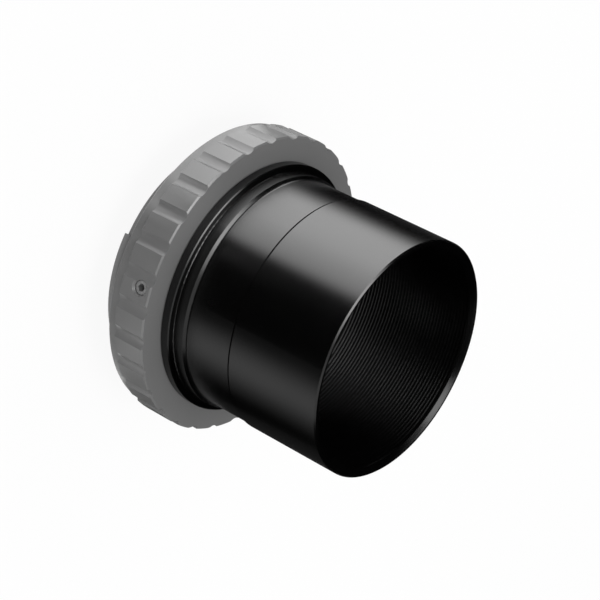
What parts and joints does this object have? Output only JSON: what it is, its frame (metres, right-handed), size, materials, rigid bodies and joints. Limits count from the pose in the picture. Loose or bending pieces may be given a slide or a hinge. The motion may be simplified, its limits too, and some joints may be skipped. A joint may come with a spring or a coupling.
{
  "type": "t-mount adapter",
  "caption": "Telescope barrel nosepiece with a stop collar and flange, screwed into a fluted T-ring that carries a camera bayonet.",
  "frame": {"origin": "on the optical axis, in the plane of the bayonet's rear end, where the part stands", "axes": "+Z along the optical axis, from the camera towards the barrel's mouth; +X through the first grub screw; right-handed, metres"},
  "size_m": [0.065, 0.065, 0.0546],
  "materials": {
    "black_anodised": "satin black anodised",
    "grey_anodised": "satin grey anodised",
    "bright_metal": "satin bright",
    "black_steel": "black oxide",
    "index_paint": "gloss red"
  },
  "bodies": {
    "t_ring": {"grip_ring": "grey_anodised", "bayonet": "bright_metal", "stop_pin": "bright_metal", "index_bead": "index_paint", "bayonet_screw_1": "bright_metal", "bayonet_screw_2": "bright_metal", "bayonet_screw_3": "bright_metal", "bayonet_screw_4": "bright_metal"},
    "thread_ring": {"thread_ring": "black_anodised"},
    "nosepiece": {"adapter_body": "black_anodised"},
    "nose_tube": {"nose_tube": "black_anodised"},
    "set_screw_1": {"set_screw_1": "black_steel"},
    "set_screw_2": {"set_screw_2": "black_steel"},
    "set_screw_3": {"set_screw_3": "black_steel"}
  },
  "joints": [
    {"name": "camera_angle", "type": "hinge", "parent": "t_ring", "child": "thread_ring", "pos_m": [0, 0, 0.0131], "axis": [0, 0, 1], "continuous": true},
    {"name": "nosepiece_unscrew", "type": "slide", "parent": "thread_ring", "child": "nosepiece", "axis": [0, 0, 1], "range_m": [0, 0.015]},
    {"name": "nose_tube_unscrew", "type": "slide", "parent": "nosepiece", "child": "nose_tube", "axis": [0, 0, 1], "range_m": [0, 0.01]},
    {"name": "set_screw_1_back_out", "type": "slide", "parent": "t_ring", "child": "set_screw_1", "axis": [1, 0, 0], "range_m": [0, 0.0011]},
    {"name": "set_screw_2_back_out", "type": "slide", "parent": "t_ring", "child": "set_screw_2", "axis": [-0.5, 0.866, 0], "range_m": [0, 0.0011]},
    {"name": "set_screw_3_back_out", "type": "slide", "parent": "t_ring", "child": "set_screw_3", "axis": [-0.5, -0.866, 0], "range_m": [0, 0.0011]}
  ]
}
